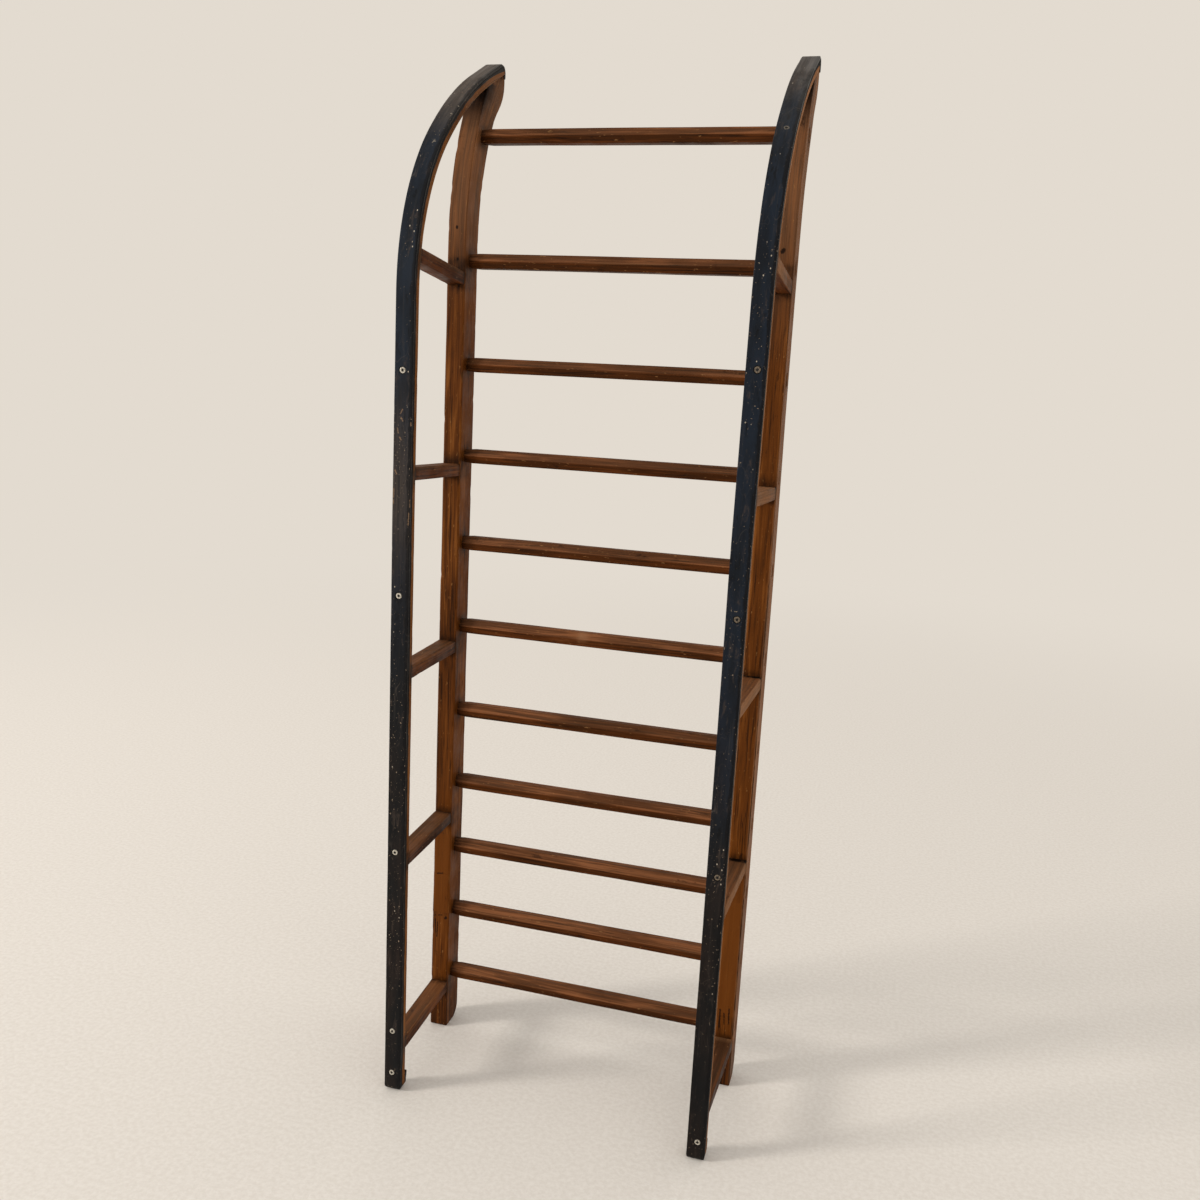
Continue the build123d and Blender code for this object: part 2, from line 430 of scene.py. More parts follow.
def paint(obj, place, half_a, half_t, tone, seed):
    """Writes what the materials read: the grain's own space, wear with painted light and shade, and tone, one value
    for each point.

    place(point) gives the distances across, through and along the piece, and tone(point, across, through, along)
    the pale share, the grime share, and how light, warm and smooth the wood is there. In places the pale, grime and
    light shares also carry painted light and shade.
    """
    shift = 0.37 * (seed % 97)
    grain, wear_and_painted_light, look = [], [], []
    for vertex in obj.data.vertices:
        across, through, along = place(vertex.co)
        pale, grime, light, warm, smooth = tone(vertex.co, across, through, along)
        edge = max(half_a - abs(across), 0.0) + max(half_t - abs(through), 0.0)
        grain.extend((across, through, along + shift))
        wear_and_painted_light.extend((edge / MM, pale, grime))
        look.extend((light, warm, smooth))
    for name, values in (("grain", grain), ("wear_and_painted_light", wear_and_painted_light), ("look", look)):
        attribute = obj.data.attributes.get(name) or obj.data.attributes.new(name, "FLOAT_VECTOR", "POINT")
        attribute.data.foreach_set("vector", values)


class Nodes:
    """Short hand for building one node tree, in which a colour can be given by its six hex digits."""

    def __init__(self, tree):
        self.tree = tree

    def feed(self, value, socket):
        if isinstance(value, bpy.types.NodeSocket):
            self.tree.links.new(value, socket)
        else:
            socket.default_value = colour(value) if isinstance(value, str) else value

    def fill(self, node, inputs):
        for key, value in inputs.items():
            self.feed(value, node.inputs[key])
        return node

    def add(self, kind, inputs=None, **settings):
        node = self.tree.nodes.new(kind)
        for key, value in settings.items():
            setattr(node, key, value)
        return self.fill(node, inputs or {})

    def attribute(self, name):
        return self.add("ShaderNodeAttribute", attribute_name=name).outputs["Vector"]

    def where(self):
        return self.add("ShaderNodeTexCoord").outputs["Object"]

    def split(self, vector):
        return self.add("ShaderNodeSeparateXYZ", {0: vector}).outputs

    def math(self, operation, first, second=0.0, clamp=False):
        return self.add("ShaderNodeMath", {0: first, 1: second}, operation=operation, use_clamp=clamp).outputs[0]

    def plus(self, first, second, clamp=False):
        return self.math("ADD", first, second, clamp)

    def minus(self, first, second):
        return self.math("SUBTRACT", first, second)

    def off(self, value, level):
        """How far a value is from a level, either way."""
        return self.math("ABSOLUTE", self.minus(value, level))

    def times(self, first, *rest):
        """Product of all the values."""
        return self.math("MULTIPLY", first, self.times(*rest)) if rest else first

    def vector(self, operation, inputs, output=0):
        return self.add("ShaderNodeVectorMath", inputs, operation=operation).outputs[output]

    def stretch(self, vector, scale):
        return self.vector("MULTIPLY", {0: vector, 1: scale})

    def shift(self, vector, offset):
        return self.vector("ADD", {0: vector, 1: offset})

    def noise(self, vector, scale, detail=3.0, roughness=0.5):
        return self.add("ShaderNodeTexNoise", {"Vector": vector, "Scale": scale, "Detail": detail,
                                               "Roughness": roughness}).outputs["Fac"]

    def span(self, value, low, high, to_low=0.0, to_high=1.0):
        return self.add("ShaderNodeMapRange", {0: value, 1: low, 2: high, 3: to_low, 4: to_high},
                        clamp=True, interpolation_type="SMOOTHSTEP").outputs[0]

    def blend(self, factor, first, second):
        return self.add("ShaderNodeMix", {0: factor, 6: first, 7: second}, data_type="RGBA").outputs[2]

    def marks(self, table):
        """Share of small ragged marks, each from one place to another with a half width, all in millimetres."""
        where = self.where()
        ragged = self.span(self.noise(where, 700.0, 3.0, 0.6), 0.3, 0.7, -0.5 * MM, 0.5 * MM)
        total = 0.0
        for start, end, half in table:
            start, line = Vector(start) * MM, (Vector(end) - Vector(start)) * MM
            away = self.shift(where, -start)
            share = self.vector("DOT_PRODUCT", {0: away, 1: line / line.length_squared}, "Value")
            foot = self.vector("SCALE", {0: line, 3: self.plus(share, 0.0, clamp=True)})
            away = self.vector("DISTANCE", {0: away, 1: foot}, "Value")
            near = self.span(self.plus(away, ragged), half * MM, 0.55 * half * MM)
            total = self.plus(near, total, clamp=True)
        return total

    def bump(self, height, strength, distance, under=None):
        """Relief of a height, over the relief under it."""
        inputs = {"Height": height, "Strength": strength, "Distance": distance}
        if under is not None:
            inputs["Normal"] = under
        return self.add("ShaderNodeBump", inputs).outputs[0]


class Coats(Nodes):
    """One material's nodes, whose base colour is laid on coat by coat."""

    def __init__(self, name):
        self.material = bpy.data.materials.new(name)
        self.material.use_nodes = True
        super().__init__(self.material.node_tree)
        self.surface = self.tree.nodes["Principled BSDF"]
        self.base = self.grain = None

    def read_mesh(self):
        """The values that paint() wrote: the grain's space, then wear with painted light, and look, as three values
        each.
        """
        self.grain = self.attribute("grain")
        return *self.split(self.attribute("wear_and_painted_light")), *self.split(self.attribute("look"))

    def fibre(self, across, along, detail=3.0, roughness=0.5, bend=None, reach=0.0):
        """Noise by its fineness across and along the grain, bent sideways by another noise."""
        where = self.stretch(self.grain, (across, across, along))
        if bend is not None:
            where = self.shift(where, self.stretch(bend, (reach, reach, 0.0)))
        return self.noise(where, 1.0, detail, roughness)

    def lay(self, over, *shares):
        """Lays a colour over the base, as strongly as the product of the shares."""
        self.base = self.blend(self.times(*shares), self.base, over)

    def finish(self, inputs):
        """Feeds the surface's own sockets and gives the material."""
        self.fill(self.surface, {"Base Color": self.base, **inputs})
        return self.material


def colour(code):
    """A linear colour from its six hex digits."""
    parts = [int(code[k:k + 2], 16) / 255 for k in (0, 2, 4)]
    return tuple(p / 12.92 if p <= 0.04045 else ((p + 0.055) / 1.055) ** 2.4 for p in parts) + (1.0,)


def old_wood(name, dark, mid, light, worn, pale, marks=(), paint_line=None):
    """Old varnished wood: rings and pores along the grain, stains, rubbed edges, dry faces and grime, and painted
    light and shade where a piece's tone puts them.

    With a paint line, the wood is painted black from its sole side up to that distance through it.
    """
    n = Coats(name)
    edge, dry, grime, tone, warm, smooth = n.read_mesh()
    plain = n.minus(1.0, n.times(smooth, 0.8))
    # Growth rings, bent by a slow warp along the piece
    warp = n.fibre(9, 2.2, 2)
    bands = n.fibre(150, 3, 3, 0.55, warp, 9)
    streaks = n.fibre(420, 9, 3, 0.6)
    pores = n.fibre(1300, 38, 2, 0.6)
    patches = n.fibre(28, 7, 3, 0.6)
    rings = n.span(n.plus(n.times(bands, 0.5), n.times(streaks, 0.5)), 0.36, 0.66)
    level = n.plus(n.times(rings, 0.62), n.times(n.span(patches, 0.3, 0.7), 0.38))
    level = n.plus(0.5, n.times(n.minus(level, 0.5), plain))
    # The tone shift lightens or darkens the wood at random, and also by painted light and shade from the pieces'
    # tone
    level = n.plus(level, tone, clamp=True)
    n.base = dark
    n.lay(mid, n.span(level, 0.0, 0.55))
    n.lay(light, n.span(level, 0.5, 1.0))
    n.lay(n.blend(0.7, n.base, "6f3b0c"), warm)
    # Pores, dark dashes and long dark lines with the grain
    n.lay(n.blend(0.75, n.base, "120703"), n.span(pores, 0.56, 0.76), plain, 0.6)
    n.lay("1c0d04", n.span(n.fibre(430, 10, 3, 0.6, warp, 5), 0.56, 0.66), plain, 0.75)
    lines = n.span(n.off(n.fibre(170, 4), 0.5), 0.018, 0.005)
    lines = n.times(lines, n.span(n.fibre(60, 11, 2), 0.5, 0.6))
    n.lay("150a05", lines, plain, 0.7)
    # Dry, unvarnished faces, and on the rungs also paler upper facets as painted light
    n.lay(pale, dry, n.span(streaks, 0.25, 0.6, 0.6, 1.0))
    # Dirt caught along the edges, edges rubbed bare, and pale nicks
    ragged = n.fibre(130, 55, 4, 0.65)
    n.lay("180b05", n.times(n.span(edge, 2.0, 0.6), n.span(ragged, 0.4, 0.55)), 0.75)
    n.lay(worn, n.times(n.span(edge, 1.9, 0.3), n.span(n.noise(n.grain, 70.0, 4.0, 0.65), 0.5, 0.62)), 0.6)
    n.lay(worn, n.span(n.fibre(420, 110, 3, 0.6), 0.665, 0.7), plain, 0.6)
    # Old stains and small knocks
    n.lay("1a0c05", n.span(n.fibre(90, 40, 4, 0.7), 0.61, 0.73), 0.6)
    if paint_line is not None:
        through = n.plus(n.split(n.grain)[1], n.span(ragged, 0.3, 0.7, -0.7 * MM, 0.7 * MM))
        painted = n.span(through, paint_line + 0.2 * MM, paint_line - 0.2 * MM)
        painted = n.math("MAXIMUM", painted, n.span(grime, 1.1, 1.5))
        n.lay("191716", painted, n.span(streaks, 0.3, 0.45, 0.75, 1.0))
    # The grime share lays dirt, and painted shade in the pocket under the runner's nose and where rungs go into the
    # rails
    dirt = n.span(ragged, 0.32, 0.6, 0.55, 1.35)
    n.lay("0d0704", n.math("MULTIPLY", n.math("MINIMUM", grime, 1.0), dirt, clamp=True))
    if marks:
        n.lay("0e0704", n.marks(marks), 0.9)
    gloss = n.span(n.noise(n.grain, 35.0, 4.0, 0.6), 0.3, 0.7, 0.42, 0.66)
    relief = n.bump(rings, 0.35, 0.25 * MM)
    relief = n.bump(n.minus(pores, n.times(lines, 0.6)), 0.3, 0.15 * MM, relief)
    return n.finish({"Roughness": n.plus(gloss, n.times(dry, 0.35), clamp=True),
                     "Specular IOR Level": WOOD_SHEEN, "Normal": relief})


def black_iron():
    """Painted iron strap: navy at the nose, brown black at the tail, scuffed, scratched and chipped."""
    n = Coats("painted_iron")
    edge, chips, grime, navy, brown, smooth = n.read_mesh()
    mottle = n.fibre(60, 14, 4, 0.65)
    drag = n.fibre(330, 9, 4, 0.65)
    fleck = n.noise(n.grain, 420.0, 3.0, 0.6)
    cloud = n.fibre(22, 9, 3, 0.6)
    n.base = "131314"
    n.lay("161f2b", navy)
    n.lay("241a15", brown, n.span(cloud, 0.35, 0.65))
    n.lay("090a0c", n.span(mottle, 0.35, 0.7, 0.0, 0.6))
    n.lay("3d3936", n.span(drag, 0.56, 0.76, 0.0, 0.35))
    # Rubbed bare iron in grey brown, which towards the nose is also a painted sheen
    n.lay("584c43", smooth, n.span(drag, 0.35, 0.6, 0.4, 1.0))
    smear = n.fibre(120, 26, 4, 0.7, cloud, 4)
    n.lay("453a33", n.span(smear, 0.56, 0.7, 0.0, 0.5))
    n.lay("050506", n.span(smear, 0.42, 0.3, 0.0, 0.7))
    # A blacker band that keeps to one edge, rubbed edges, chips and pale specks
    ragged = n.span(n.fibre(90, 30, 4, 0.7), 0.3, 0.7, -1.5 * MM, 1.5 * MM)
    band = n.plus(n.split(n.grain)[0], ragged)
    n.lay("060608", n.span(band, runner_half - 5 * MM, runner_half - 3.4 * MM, 0.0, 0.75))
    n.lay("836853", n.times(n.span(edge, 2.2, 0.4), n.span(n.noise(n.grain, 90.0, 5.0, 0.7), 0.43, 0.54)), 0.8)
    near = n.span(edge, 7.0, 0.5, 0.0, 0.09)
    chip = n.span(n.plus(n.plus(fleck, near), n.times(chips, 0.12)), 0.725, 0.755)
    n.lay("94816c", chip)
    cells = n.add("ShaderNodeTexVoronoi", {"Vector": n.stretch(n.grain, (1.0, 1.0, 0.65)), "Scale": 150.0})
    picked = n.plus(n.split(cells.outputs["Color"])[0], n.times(chips, 0.12))
    picked = n.plus(picked, n.span(edge, 4.0, 0.5, 0.0, 0.1))
    n.lay("b0a492", n.span(cells.outputs["Distance"], 0.13, 0.07), n.span(picked, 0.9, 0.93))
    # Fine scratches, each a thin level line of a slow noise
    lines = 0.0
    for tilt, size in (((38.0, 38.0, 15.0), 1.0), ((70.0, 55.0, 34.0), 1.3)):
        field = n.noise(n.stretch(n.grain, tilt), size, 1.0, 0.4)
        lines = n.plus(n.span(n.off(field, 0.52), 0.006, 0.0), lines, clamp=True)
    lines = n.times(lines, n.span(n.noise(n.grain, 18.0, 2.0), 0.5, 0.62))
    n.lay("7d7064", lines, 0.16)
    n.lay("8f8474", n.marks(PALE_SHOE_MARKS), 0.7)
    n.lay("8a6d52", n.marks(BEIGE_SHOE_MARKS), 0.6)
    n.lay("060607", n.marks(DARK_SHOE_MARKS))
    n.lay("070606", grime)
    relief = n.bump(mottle, 0.3, 0.5 * MM)
    relief = n.bump(n.minus(drag, n.times(chip, 0.8)), 0.3, 0.15 * MM, relief)
    return n.finish({"Roughness": n.span(n.fibre(90, 25, 4, 0.7), 0.3, 0.7, 0.36, 0.62),
                     "Specular IOR Level": IRON_SHEEN, "Normal": relief})


def screw_metal(name, bright, dirt, metal):
    """Screw steel, dulled and spotted with dirt."""
    n = Coats(name)
    where = n.where()
    spots = n.span(n.noise(where, 900.0, 4.0, 0.7), 0.42, 0.62)
    n.base = bright
    n.lay(dirt, spots)
    return n.finish({"Roughness": n.span(spots, 0.0, 1.0, 0.36, 0.7), "Metallic": metal,
                     "Normal": n.bump(n.noise(where, 1400.0), 0.3, 0.1 * MM)})


# Small marks: where each starts and ends, and half its width, millimetres
RAIL_MARKS = [
    ((-218.3, 27.6, 1167.5), (-218.3, 27.6, 1169.5), 2.0), ((-216.2, 27, 1127), (-216.2, 27, 1128.5), 1.8),
    ((-225, 26, 248.4), (-215.5, 26, 250), 1.5), ((-229.5, 26.5, 180), (-225.5, 26.5, 180.8), 1.2),
    ((-221.5, 26.5, 181.4), (-215.5, 26.5, 182.4), 1.2), ((-210.5, 27, 178.2), (-209.5, 27, 179.2), 2.6),
    ((-226.5, 27, 174), (-225, 27, 152), 1.1), ((-222.5, 27, 170), (-223.5, 27, 146), 0.9),
    ((229.3, 23.3, 1132), (229.3, 23.3, 1134), 1.9), ((229.3, 50, 1296), (229.3, 34, 1269), 1.0),
    ((213.5, 27, 1145), (215, 27, 1147), 3.2), ((210, 26.7, 118), (210.5, 26.7, 90), 1.3),
    ((216, 26.7, 113), (217, 26.7, 96), 1.1), ((222.5, 26.7, 121), (223, 26.7, 98), 1.2)]
RUNG_MARKS = [((-93, 42, 86), (-89.5, 42, 87.5), 3.0)]
PALE_SHOE_MARKS = [
    ((-202, -18, 1309), (-199, -19.5, 1307), 1.0), ((-205, -32, 1297), (-202, -33, 1294), 1.0),
    ((-211, -72, 1258), (-207, -73, 1255), 1.0), ((-208, -71, 1259), (-210, -74, 1253), 0.9),
    ((217.4, -60, 1271), (218, -60, 1270), 3.6)]
BEIGE_SHOE_MARKS = [
    ((-213, -140, 932), (-215.5, -140, 927), 0.8), ((-214.5, -140, 922), (-212.5, -140, 918), 0.9),
    ((-216.4, -140, 898), (-214.3, -140, 895), 1.0), ((-221.8, -140, 857), (-219.7, -140, 853), 1.0),
    ((-223, -140, 834), (-223.4, -140, 824), 0.9), ((-223.7, -140, 820), (-223.5, -140, 816), 1.0),
    ((-201.5, -140, 916), (-201.4, -140, 913), 1.1), ((-201, -140, 822), (-201.1, -140, 813), 0.9),
    ((-202.5, -140, 805), (-202.8, -140, 790), 0.8), ((-219.5, -140, 909), (-217.8, -140, 903), 0.8)]
DARK_SHOE_MARKS = [((219.8, -137, 1058), (220.4, -137, 1059), 3.8), ((217.4, -60, 1271), (218, -60, 1270), 2.6)]
WOOD_SHEEN = 0.06
IRON_SHEEN = 0.12

rail_wood = old_wood("rail_wood_old", "241004", "532b0b", "7c4a1e", "95683a", "b5825c", RAIL_MARKS)
runner_wood = old_wood("runner_wood_old", "3c200c", "744518", "9a642e", "a87e4e", "a5744f",
                       paint_line=-2.2 * MM)
strut_wood = old_wood("strut_wood_old", "241006", "562d12", "7a4824", "966b45", "a0734e")
rung_wood = old_wood("rung_wood_old", "221005", "4a250c", "7e4c2c", "956b42", "8a6244", RUNG_MARKS)
iron = black_iron()
zinc = screw_metal("zinc_screw", "d6d0c2", "8a8172", 0.4)
dull_zinc = screw_metal("dull_screw", "7a6c5a", "2a2622", 0.3)
socket_dirt = screw_metal("screw_socket_dirt", "2c2722", "0f0d0b", 0.1)


def tail_limit(x, z):
    """Draws a place across the runner in where the corners of the tail and tip are rounded in the front view."""
    limit = runner_half - end_cut(max(z, 0.0), TAIL_ROUND) - end_cut(max(top_height - z, 0.0), TIP_CORNER)
    return max(-limit, min(limit, x))


def strap_trace():
    """Middle line of the iron strap: lip, foot, sole, bend, and the lap over the tip."""
    middle = shoe_thick / 2
    foot_turn = TAIL_ROUND - middle
    tip_turn = TIP_ROUND - middle
    splay = asin(LIP_SPLAY / (TAIL_LIP - TAIL_ROUND))
    trace = Trace(strip_thick + middle + LIP_SPLAY, TAIL_LIP, pi + splay)
    trace.run(0.8 * MM, LOOP)
    trace.run((TAIL_LIP - TAIL_ROUND) / cos(splay) - 0.8 * MM, 3 * MM)
    trace.lean = pi
    trace.turn(foot_turn, pi / 2, FINE_STEP)
    trace.run(strip_thick + shoe_thick - 2 * TAIL_ROUND, FINE_STEP)
    trace.turn(foot_turn, pi / 2, FINE_STEP)
    trace.lean = 0.0
    trace.run(BEND_START - TAIL_ROUND)
    trace.turn(LOW_RADIUS - middle, LOW_TURN)
    trace.turn(HIGH_RADIUS - middle, HIGH_TURN)
    tip_start = overall_depth - middle - tip_turn * (1 + cos(tip_lean))
    trace.run((tip_start - trace.depth) / sin(tip_lean))
    trace.turn(tip_turn, pi - tip_lean, FINE_STEP)
    sharp_tip = strip_back_height(overall_depth, 0.0)
    trace.run(trace.height - (sharp_tip - TIP_LAP) - 0.6 * MM, 3 * MM)
    trace.run(0.6 * MM, LOOP)
    return trace


def strip_back_height(depth, layer):
    """Height at which the straight nose of a layer reaches a depth."""
    end_depth, end_height = strip_end(layer)
    return end_height + (depth - end_depth) / tan(tip_lean)


def strip_rings(stations, side, half_t, end_round, seed, lip=0.0):
    """Rings of a strip, as wide as the runner, along a line in the side view, thicker by a lip at its start."""
    length = stations[-1][3]
    rings = []
    for depth, height, lean, along in stations:
        draw = end_cut(min(along, length - along), end_round)
        half = half_t + lip * (1 - end_share(along, *LIP_FADE))
        ring = []
        for a, t in rounded_ring(runner_half - draw, half - draw, worn_radii(STRIP_EDGE, along, seed)):
            dip = 0.5 + 0.5 * wander(a * 40, t * 40, along * 9, seed)
            a *= 1 - STRIP_RIPPLE * dip / runner_half
            t *= 1 - STRIP_RIPPLE * dip / half
            z = height - sin(lean) * t
            ring.append((side * runner_mid + sway(side, z) + tail_limit(a, z),
                         max(sole + depth + cos(lean) * t, sole + SOLE_SINK), z))
        rings.append(ring)
    return rings


def strip_frame(side, middle):
    """Gives the distances across, through and along a strip whose middle lies that far behind the sole."""
    def place(point):
        layer, along = strip_place(point.y - sole, point.z)
        return point.x - side * runner_mid - sway(side, point.z), layer - middle, along

    return place


def turned(name, profile):
    """A closed turned shape about the Y axis from (radius, depth) points, first and last on the axis."""
    count = TURNED_SEGMENTS
    points = [(0.0, profile[0][1], 0.0)]
    for radius, depth in profile[1:-1]:
        points += [(x, depth, z) for x, z in circle(radius, count)]
    points.append((0.0, profile[-1][1], 0.0))
    faces = [(0, 1 + k, 1 + (k + 1) % count) for k in range(count)]
    for start in range(1, 1 + (len(profile) - 3) * count, count):
        faces += [(start + k, start + count + k, start + count + (k + 1) % count, start + (k + 1) % count)
                  for k in range(count)]
    start = 1 + (len(profile) - 3) * count
    faces += [(start + (k + 1) % count, start + k, len(points) - 1) for k in range(count)]
    return solid(name, points, faces)


def screw_head(name, x, height, turn):
    """Domed screw head in its countersink, with a cross recess whose faces take the second material."""
    head = turned(name, [(radius * MM, depth * MM) for radius, depth in SCREW_PROFILE])
    for vertex in head.data.vertices:
        if RECESS_RING[0] < hypot(vertex.co.x, vertex.co.z) < RECESS_RING[1]:
            reach = 0.75 + 0.4 * max(0.0, cos(4 * atan2(vertex.co.z, vertex.co.x)))
            vertex.co.x *= reach
            vertex.co.z *= reach
        vertex.co = Matrix.Rotation(turn, 3, "Y") @ vertex.co + Vector((x, sole + SCREW_FRONT, height))
    for face in head.data.polygons:
        face.material_index = 1 if hypot(face.center.x - x, face.center.z - height) < RECESS_RADIUS else 0
    return head


def make_shoe(name, side):
    """Iron strap with its countersunk screws."""
    seed = 3 + side
    half_t = shoe_thick / 2
    rings = strip_rings(strap_trace().stations, side, half_t, STRAP_END_ROUND, seed, LIP_THICKER)
    shoe = skin(f"shoe_{name}_strap", rings, iron)
    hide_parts(f"shoe_{name}")
    heights = [(height * MM, bright) for where, height, bright in SCREWS if where == name]
    tools, heads = [], {True: [], False: []}
    for number, (height, bright) in enumerate(heights):
        x = side * (runner_mid + SCREW_OFFSET) + sway(side, height)
        tool = turned("sink", [(0.0, -1.0 * MM), (SCREW_HOLE, -1.0 * MM), (SCREW_HOLE - 0.3 * MM, SCREW_SINK),
                               (0.0, SCREW_SINK)])
        tool.data.transform(Matrix.Translation((x, sole + SOLE_SINK, height)))
        tools.append(tool)
        heads[bright].append(screw_head(f"head_{number}", x, height, SCREW_TURN * number + side))
    cut(shoe, join("sinks", tools))

    def tone(point, across, through, along):
        # For the strap, pale, grime, light, warm and smooth are read as chips, soot, navy, brown and bare iron;
        # towards the nose the bare iron share is also a painted sheen
        navy = 0.9 * ramp(along, 450, 900)
        brown = 0.75 * (1 - ramp(along, 250, 700))
        chips = 0.35 + 0.5 * wander(along * 6, 0, 0, seed)
        sunk = 0.85 if point.y - sole > 0.6 * MM and abs(through) < 0.9 * MM and near_screw(point, heights) else 0.0
        # tip: at the nose the strap turns paler and browner, partly rubbed iron and partly a painted sheen, more on
        # the left strap
        if side > 0:
            navy = max(navy, 0.8 * ramp(along, 330, 560))
            sunk = max(sunk, 0.3 * (1 - ramp(along, 200, 420)))
            chips += 0.35 * dab(point, 0.217, 1.128, 14 * MM)
            tip, rubbed = 0.5 * ramp(along, 1340, 1400), 0.0
        else:
            tip, rubbed = 0.9 * ramp(along, 1260, 1400), 0.45 * dab(point, -0.213, 0.83, 90 * MM)
        return chips + 0.3 * rubbed, sunk, navy * (1 - tip) * (1 - rubbed), brown + tip, rubbed + 0.7 * tip

    paint(shoe, strip_frame(side, half_t), runner_half, half_t + 20 * MM, tone, seed)
    for bright, parts in heads.items():
        if parts:
            screws = join(f"screws_{name}_{'bright' if bright else 'dull'}", parts)
            screws.data.materials.append(zinc if bright else dull_zinc)
            screws.data.materials.append(socket_dirt)
            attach(screws, "root")


def dab(point, x, z, reach):
    """Share of a soft round patch seen from the front."""
    return exp(-((point.x - x) ** 2 + (point.z - z) ** 2) / reach ** 2)


def near_screw(point, heights):
    """Whether a place lies inside one of the countersinks."""
    return any(abs(point.z - height) < SCREW_HOLE * 1.1 for height, _ in heights) and point.z < BEND_START


def end_share(value, low, high):
    """Smooth step from 0 at low to 1 at high."""
    share = max(0.0, min(1.0, (value - low) / (high - low)))
    return share * share * (3 - 2 * share)


def ramp(value, low, high):
    """Smooth step from 0 at low to 1 at high, both in millimetres."""
    return end_share(value, low * MM, high * MM)


def make_runner(name, side):
    """Bent wooden strip, cut off upright at the nose under the strap's lap."""
    seed = 11 + side
    middle = shoe_thick + WOOD_THICK / 2
    trace = Trace(middle, shoe_thick)
    trace.run(WOOD_END_ROUND, WOOD_END_ROUND / 4)
    trace.run(BEND_START - shoe_thick - WOOD_END_ROUND)
    trace.turn(LOW_RADIUS - middle, LOW_TURN)
    trace.turn(HIGH_RADIUS - middle, HIGH_TURN)
    trace.run((overall_depth + 12 * MM - trace.depth) / sin(tip_lean))
    rings = strip_rings(trace.stations, side, WOOD_THICK / 2, WOOD_END_ROUND, seed)
    runner = skin(f"runner_{name}_strip", rings, runner_wood)
    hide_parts(f"runner_{name}")
    cut(runner, tip_tool(side))
    boxes, seam_start = strut_boxes(name), nose_height()

    def tone(point, across, through, along):
        outer = ramp(side * across, 6, 11)
        pale = 0.55 * outer if side > 0 else 0.1 * outer
        joint = max(joint_grime(point, box, 5 * MM) for box in boxes)
        seam = ramp(through, 3.6, 5.4) * end_share(point.z, seam_start - 2 * MM, seam_start + 6 * MM)
        cap = 2.0 * ramp(point.y - sole, 262, 268) if side > 0 else 0.0
        return pale, max(0.6 * joint, 0.9 * seam, cap), 0.05 + 0.12 * wander(along * 5, 0, 0, seed), 0.3, 0.0

    paint(runner, strip_frame(side, middle), runner_half, WOOD_THICK / 2, tone, seed)


def tip_tool(side):
    """Cutting shape that ends a runner's strip upright, with the corner rounded under the strap."""
    steps, reach, half_width = 8, 60 * MM, 30 * MM
    end = tip_reach - 0.2 * MM
    radius = TIP_ROUND - shoe_thick
    start = end - radius - radius * cos(tip_lean)
    middle = strip_back_height(start, shoe_thick) - radius * sin(tip_lean)
    turns = [tip_lean + (pi - tip_lean) * k / steps for k in range(steps + 1)]
    outline = [(end - radius - radius * cos(turn), middle + radius * sin(turn)) for turn in turns]
    outline += [(end, middle - reach), (end + reach, middle - reach), (end + reach, middle + reach),
                (start, middle + reach)]
    size = len(outline)
    points = [(side * runner_mid + x, sole + depth, height)
              for x in (-half_width, half_width) for depth, height in outline]
    faces = [(k, (k + 1) % size, size + (k + 1) % size, size + k) for k in range(size)]
    return solid("tip_tool", points, faces + [tuple(range(size)), tuple(range(2 * size - 1, size - 1, -1))])


def strut_boxes(name):
    return [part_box(f"strut_{name}_{number}") for number in STRUTS]


def rung_boxes():
    return [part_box(f"rung_{number:02d}") for number in RUNGS]


def joint_grime(point, box, reach):
    """Share of dirt that a joined piece's box leaves around it on a neighbour."""
    low, high = box
    away = Vector([max(low[k] - point[k], 0.0, point[k] - high[k]) for k in range(3)]).length
    return exp(-(away / reach) ** 2)


def spaced(start, end, step):
    """Even places from start to end, both kept."""
    count = max(1, ceil((end - start) / step))
    return [start + (end - start) * k / count for k in range(count + 1)]


def plate(side, height):
    """How far the mended face stands proud of the rail at a height."""
    edges = PLATE_EDGES[side]
    if height < edges[0] or height > edges[-1]:
        return 0.0
    return PLATE_THICK if side < 0 and height < edges[1] else PLATE_THIN


def pinch(side, height):
    """How far a rail's outer face has drawn in at a height."""
    return RAIL_PINCH * end_share(height, *PINCH_RANGE) if side > 0 else 0.0


